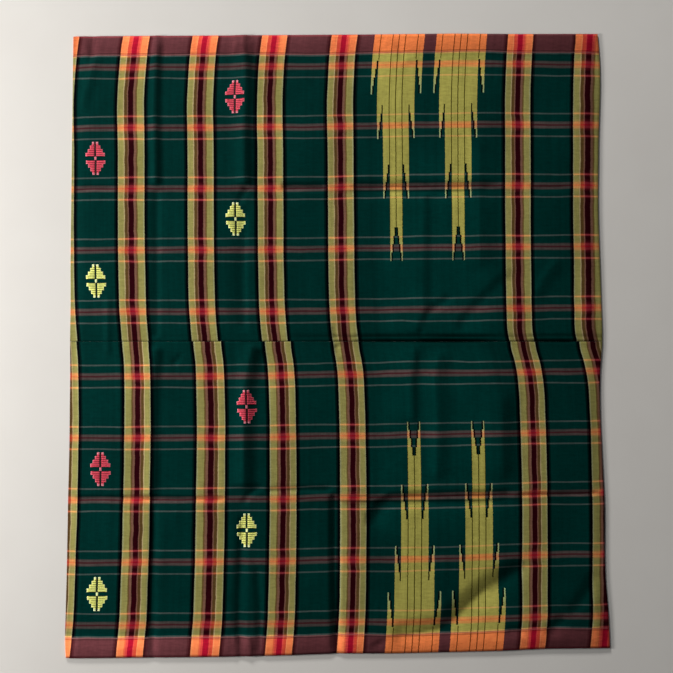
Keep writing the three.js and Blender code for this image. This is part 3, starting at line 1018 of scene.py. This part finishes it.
def thicken(piece):
    # gives the sheet its thickness inwards, and lays the inner wall's bake places in a strip of their own
    outerFaces = len(piece.data.polygons)
    wall = piece.modifiers.new("cloth thickness", "SOLIDIFY")
    wall.thickness = tube["shell"] * mm
    wall.offset = -1
    wall.use_even_offset = True
    bpy.ops.object.modifier_apply(modifier=wall.name)
    mesh = piece.data
    starts = np.zeros(len(mesh.polygons), int)
    mesh.polygons.foreach_get("loop_start", starts)
    bakeMap = mesh.uv_layers["OFBake"]
    uv = np.zeros(len(mesh.loops) * 2)
    bakeMap.data.foreach_get("uv", uv)
    uv = uv.reshape(-1, 2)
    inner = np.arange(len(mesh.loops)) >= starts[outerFaces]
    uv[inner, 1] = mix(*bake["inner"], uv[inner, 1])
    bakeMap.data.foreach_set("uv", uv.ravel())


bake = {
    "front": (0.40, 0.995), "back": (0.14, 0.39), "inner": (0.005, 0.13),  # heights in the bake's square
    "lengths": (560.0, 3.8, 1030.0, 3.8, 466.0),  # of the stretches round the tube
    "margin": 4.0,
}


def bakePlaces(column, t, loopVertex):
    # lays the front in the square's upper part, and both stretches of the back side by side under it
    cells, margin = tube["cells"], bake["margin"]
    lengths = np.array(bake["lengths"])
    ends = np.cumsum(lengths)
    stretches, shares = ringStations()
    arc = ((ends - lengths)[stretches] + lengths[stretches] * shares)[column[loopVertex]]
    frontFrom, frontTo = ends[0] + lengths[1] / 2, ends[2] + lengths[3] / 2
    firstColumn = np.repeat(column[loopVertex].reshape(-1, 4).min(1), 4)
    onLeftBack = firstColumn >= sum(cells[:3]) + cells[3] // 2
    onFront = (firstColumn >= cells[0] + cells[1] // 2) & ~onLeftBack
    backWidth = ends[-1] - (frontTo - frontFrom) + 3 * margin
    onBack = np.where(onLeftBack, arc - frontTo + frontFrom + 2 * margin, arc + margin) / backWidth
    u = np.where(onFront, (arc - frontFrom + margin) / (frontTo - frontFrom + 2 * margin), onBack)
    low, high = (np.where(onFront, bake["front"][end], bake["back"][end]) for end in (0, 1))
    return np.column_stack((u, mix(low, high, t[loopVertex])))


panels = {panel: addPanel(panel, name) for panel, name in
          (("upper_panel", "upper_cloth"), ("lower_panel", "lower_cloth"))}
surfaces = {panel: BVHTree.FromObject(piece, bpy.context.evaluated_depsgraph_get())
            for panel, piece in panels.items()}
print("both loom widths are shaped")


def surfaceHeight(panel, side, x, y):  # height of the cloth's outer face over or under a plan place
    start, way = (0.1, -1) if side == "front" else (-0.1, 1)
    hit = surfaces[panel].ray_cast(Vector((x * mm, y * mm, start)), Vector((0, 0, way)))[0]
    return hit.z / mm if hit else 0.0


# Flowers of floating yarn: four stepped quarters, each of strands lying along the weft.
flower = {
    "halfWidths": (6.3, 10.3, 14.6, 18.9),  # from the tip to the middle
    "barsEach": 2,
    "barPitch": 3.6,
    "fromMiddle": 3.8,  # half height of the level slit between the quarters
    "slit": 1.75,  # half width of the upright slit
    "strandsInBar": 3,
    "strandWide": 1.04,
    "strandHigh": 0.5,
    "lean": 0.5,  # how far each upper bar is shifted along the weft against the lower ones
    "spacing": 1.04,  # between strands, in strand widths
    "proud": 0.28,  # how far strands stand up, in strand heights
    "turn": (1.6, 2.4, 0.5),  # the yarn's turn in the slit: how much longer, wider and higher it is
    "tones": (-0.42, 0.6, 0.75), "toneSway": 0.08,  # of the strands in a bar, from below
    "turnTone": -1.0,
    "heart": (2.1, 3.4),  # half width and half height of the dot in the middle
    "heartTone": 0.95, "heartProud": 0.4,
    "backShare": 0.6,  # how far the flowers stand off the underside, against the front
    "firstRow": 3.4,
    "rowPitch": 120.0,
}
blooms = {  # across the even pattern: row of squares and yarn, for the squares that are in bloom
    -921.4: ((1, "red"), (3, "yellow")),
    -649.4: ((2, "red"), (4, "yellow")),
    -377.4: ((1, "red"), (3, "yellow")),
    377.4: ((2, "yellow"), (4, "red")),
    649.4: ((1, "yellow"), (3, "red")),
}
clothEnds = (-1140.0, 870.0)  # the closing seam, across the woven cloth
frontEnds = (-697.0, 330.0)  # the side folds
strandForm = {
    "sides": 6, "cellLong": 5.0,
    "blunt": 0.22,  # how far an end's face is inset
    "taper": 0.5,
    "toneFrom": 0.55,  # share of the way to an end from which the tone changes
}
random.seed(11)


def addStrand(length, width, height):
    # one float of yarn lying along X, blunt at both ends, with its middle at the origin
    choose()
    bpy.ops.mesh.primitive_cylinder_add(vertices=strandForm["sides"], radius=0.5, depth=1,
                                        rotation=(0, math.pi / 2, 0))
    strand = bpy.context.object
    bpy.ops.object.transform_apply(location=False, rotation=True, scale=False)
    for face in strand.data.polygons:
        face.select = abs(face.normal.x) > 0.9
    bpy.ops.object.mode_set(mode="EDIT")
    bpy.ops.mesh.select_mode(type="FACE")
    bpy.ops.mesh.inset(thickness=strandForm["blunt"], depth=0.0, use_individual=True)
    bpy.ops.mesh.select_all(action="DESELECT")
    bpy.ops.mesh.select_mode(type="EDGE")
    bpy.ops.object.mode_set(mode="OBJECT")
    vertices = strand.data.vertices
    for edge in strand.data.edges:
        start, end = edge.vertices
        edge.select = abs(vertices[start].co.x - vertices[end].co.x) > 0.5
    bpy.ops.object.mode_set(mode="EDIT")
    if length > strandForm["cellLong"]:
        bpy.ops.mesh.subdivide(number_cuts=round(length / strandForm["cellLong"]))
    bpy.ops.object.mode_set(mode="OBJECT")
    taper = min(strandForm["taper"], length / 4)
    for vertex in vertices:
        onEnd = math.hypot(vertex.co.y, vertex.co.z) < 0.4
        reach = length if onEnd else length - 2 * taper
        vertex.co = (vertex.co.x * reach, vertex.co.y * width, vertex.co.z * height)
    strand.select_set(False)
    return strand


def joinPieces(pieces, name):
    choose(*pieces)
    bpy.ops.object.join()
    joined = bpy.context.object
    joined.name = joined.data.name = name
    joined.select_set(False)
    return joined


def paintTone(piece, tone, outerTone, outwards):  # the tone changes towards the strand's outer end
    places = readPlaces(piece.data)[:, 0]
    start = strandForm["toneFrom"]
    towardsEnd = smooth((places * outwards / np.abs(places).max() - start) / (1 - start))
    tones = mix(tone, outerTone, towardsEnd).astype(np.float32)
    piece.data.attributes.new("tone", "FLOAT", "POINT").data.foreach_set("value", tones)


def copyPiece(piece):
    twin = piece.copy()
    twin.data = piece.data.copy()
    scene.collection.objects.link(twin)
    return twin


def moveMesh(piece, x, y, z):
    piece.data.transform(Matrix.Translation((x, y, z)))


def copyStrand(pattern, tones, outwards, place, strands):
    strand = copyPiece(pattern)
    paintTone(strand, *tones, outwards)
    moveMesh(strand, *place)
    strands.append(strand)


def addFlowerBar(strands, bar):
    # both quarters' strands at one step's height, above and below the middle, and the turn between them
    wide, high, slit = flower["strandWide"], flower["strandHigh"], flower["slit"]
    longer, wider, higher = flower["turn"]
    barCount = len(flower["halfWidths"]) * flower["barsEach"]
    middle = flower["fromMiddle"] + flower["barPitch"] * (barCount - 0.5 - bar)
    length = flower["halfWidths"][bar // flower["barsEach"]] - slit
    pattern = addStrand(length, wide, high)
    turn = addStrand(2 * slit + longer, wider * wide, higher * high)
    for upwards in (-1, 1):
        for number in range(flower["strandsInBar"]):
            offset = (number - (flower["strandsInBar"] - 1) / 2) * wide * flower["spacing"]
            for sideways in (-1, 1):
                tone = 1.0 if bar < 1 else flower["tones"][number]
                tone += random.uniform(-flower["toneSway"], flower["toneSway"])
                place = (sideways * (slit + length / 2) + flower["lean"] * upwards,
                         upwards * (middle + offset), high * flower["proud"])
                copyStrand(pattern, (tone, 1.0), sideways, place, strands)
        place = (flower["lean"] * upwards, upwards * middle, 0.0)
        copyStrand(turn, (flower["turnTone"],) * 2, 1, place, strands)
    bpy.data.objects.remove(pattern)
    bpy.data.objects.remove(turn)


def addFlowerPattern():  # one flower, flat, in millimetres: across X, up the cloth Y, above its face Z
    strands = []
    wide, high = flower["strandWide"], flower["strandHigh"]
    for bar in range(len(flower["halfWidths"]) * flower["barsEach"]):
        addFlowerBar(strands, bar)
    halfWide, halfHigh = flower["heart"]
    pattern = addStrand(2 * halfWide, wide, high)
    count = int(2 * halfHigh / wide)
    for number in range(count):
        place = (0.0, (number - (count - 1) / 2) * wide * flower["spacing"], high * flower["heartProud"])
        copyStrand(pattern, (flower["heartTone"],) * 2, 1, place, strands)
    bpy.data.objects.remove(pattern)
    return joinPieces(strands, "flower pattern")


def layOnCloth(piece, panel, side, across, up):
    # moves a flat pattern, in millimetres, to its place on the tube and bends it to the cloth
    mesh = piece.data
    places = readPlaces(mesh)
    patternAcross = across + places[:, 0]
    woven, even = wovenStations(panel)
    if panel == "lower_panel":
        patternAcross = -patternAcross
    x, y = findPlan(panel, side, np.interp(patternAcross, even, woven), up + places[:, 1])
    ground = np.array([surfaceHeight(panel, side, *at) for at in zip(x, y)])
    z = ground + places[:, 2] if side == "front" else ground - places[:, 2] * flower["backShare"]
    mesh.vertices.foreach_set("co", (np.column_stack((x, y, z)) * mm).ravel())
    mesh.update()


def addFlowers():
    pattern = addFlowerPattern()
    made = {"red": [], "yellow": []}
    for panel in panels:
        for across, kinds in blooms.items():
            toRight = across if panel == "upper_panel" else -across
            if not clothEnds[0] < toRight < clothEnds[1]:
                continue
            side = "front" if frontEnds[0] < toRight < frontEnds[1] else "back"
            for row, colour in kinds:
                bloom = copyPiece(pattern)
                layOnCloth(bloom, panel, side, across, flower["firstRow"] + flower["rowPitch"] * row)
                made[colour].append(bloom)
    bpy.data.objects.remove(pattern)
    return [finishThread(joinPieces(pieces, colour + "_flowers"), colour + " flower yarn")
            for colour, pieces in made.items()]


def finishThread(piece, finishName):
    choose(piece)
    bpy.ops.object.mode_set(mode="EDIT")
    bpy.ops.mesh.select_all(action="SELECT")
    bpy.ops.mesh.normals_make_consistent(inside=False)
    bpy.ops.object.mode_set(mode="OBJECT")
    bpy.ops.object.shade_smooth()
    piece.data.materials.clear()
    piece.data.materials.append(yarnFinishes[finishName])
    piece.select_set(False)
    return piece


flowers = addFlowers()
print("flowers are laid on the cloth")

stitch = {
    "long": 2.8, "wide": 0.34, "high": 0.3, "tone": 0.3,
    "pitch": 4.2, "lean": 72, "sway": 7, "stray": 0.4,  # degrees from the line across, and unevenness
    "closingPitch": 4.6, "closingLean": 18, "closingSway": 6,
    "closingEnds": (0.7, 0.99),  # in stitches from the mouth, and as a share of the way to the centre seam
    "ends": (-516.0, 508.0),
    "footing": 0.9,  # how far either side of the seam the thread goes down
    "proud": {"front": 0.02, "back": 0.06},
    "closingMouth": 0.45,  # share of the flat width at which the mouth's height is read
}


def addSeamStitches():
    # small slanting stitches over the centre seam, front and back, and up the closing seam
    pattern = addStrand(stitch["long"], stitch["wide"], stitch["high"])
    paintTone(pattern, stitch["tone"], stitch["tone"], 1)
    stitches = []

    def sew(x, y, z, lean, sway):
        sewn = copyPiece(pattern)
        sewn.data.transform(Matrix.Rotation(math.radians(lean + random.uniform(-sway, sway)), 4, "Z"))
        moveMesh(sewn, x, y, z)
        stitches.append(sewn)

    left, right = stitch["ends"]
    for side, proud in stitch["proud"].items():
        for number in range(int((right - left) / stitch["pitch"])):
            x = left + stitch["pitch"] * (number + 0.5) + random.uniform(-stitch["stray"], stitch["stray"])
            heights = [surfaceHeight(panel, side, x, way * stitch["footing"])
                       for panel, way in (("upper_panel", 1), ("lower_panel", -1))]
            sew(x, 0.0, sum(heights) / 2 + proud, stitch["lean"], stitch["sway"])
    first, last = stitch["closingEnds"]
    for panel in panels:
        far, near = mouthHeight(panel, stitch["closingMouth"]), seamHeight(panel)
        count = int(abs(far - near) / stitch["closingPitch"]) - 1
        for number in range(count):
            t = (number + first) / count * last
            sew(float(closingSeamX(panel, t)), mix(far, near, t), stitch["proud"]["back"],
                stitch["closingLean"], stitch["closingSway"])
    bpy.data.objects.remove(pattern)
    piece = joinPieces(stitches, "seam_stitches")
    piece.data.transform(Matrix.Scale(mm, 4))
    return finishThread(piece, "dark sewing thread")


seamStitches = addSeamStitches()
print("seams are sewn")


def addFloor():
    choose()
    bpy.ops.mesh.primitive_plane_add(size=studio["floorSize"], location=(0, 0, -studio["floorGap"]))
    floor = bpy.context.object
    floor.name = "floor"
    bpy.ops.object.transform_apply(location=True, rotation=False, scale=False)
    material, tree, shader = newMaterial("pale floor")
    soft = grain(tree, tree.nodes.new("ShaderNodeTexCoord").outputs["Object"], *studio["floorGrain"])
    colour = blend(tree, soft, *(srgb(*each) for each in studio["floorColours"]))
    tree.links.new(colour, shader.inputs["Base Color"])
    shader.inputs["Roughness"].default_value = studio["floorRoughness"]
    floor.data.materials.append(material)
    floor.select_set(False)
    return floor


addFloor()

for piece in (*panels.values(), *flowers, seamStitches):
    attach(piece, "root")
for panel, piece in panels.items():
    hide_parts(panel)

print("the sarong is dressed")
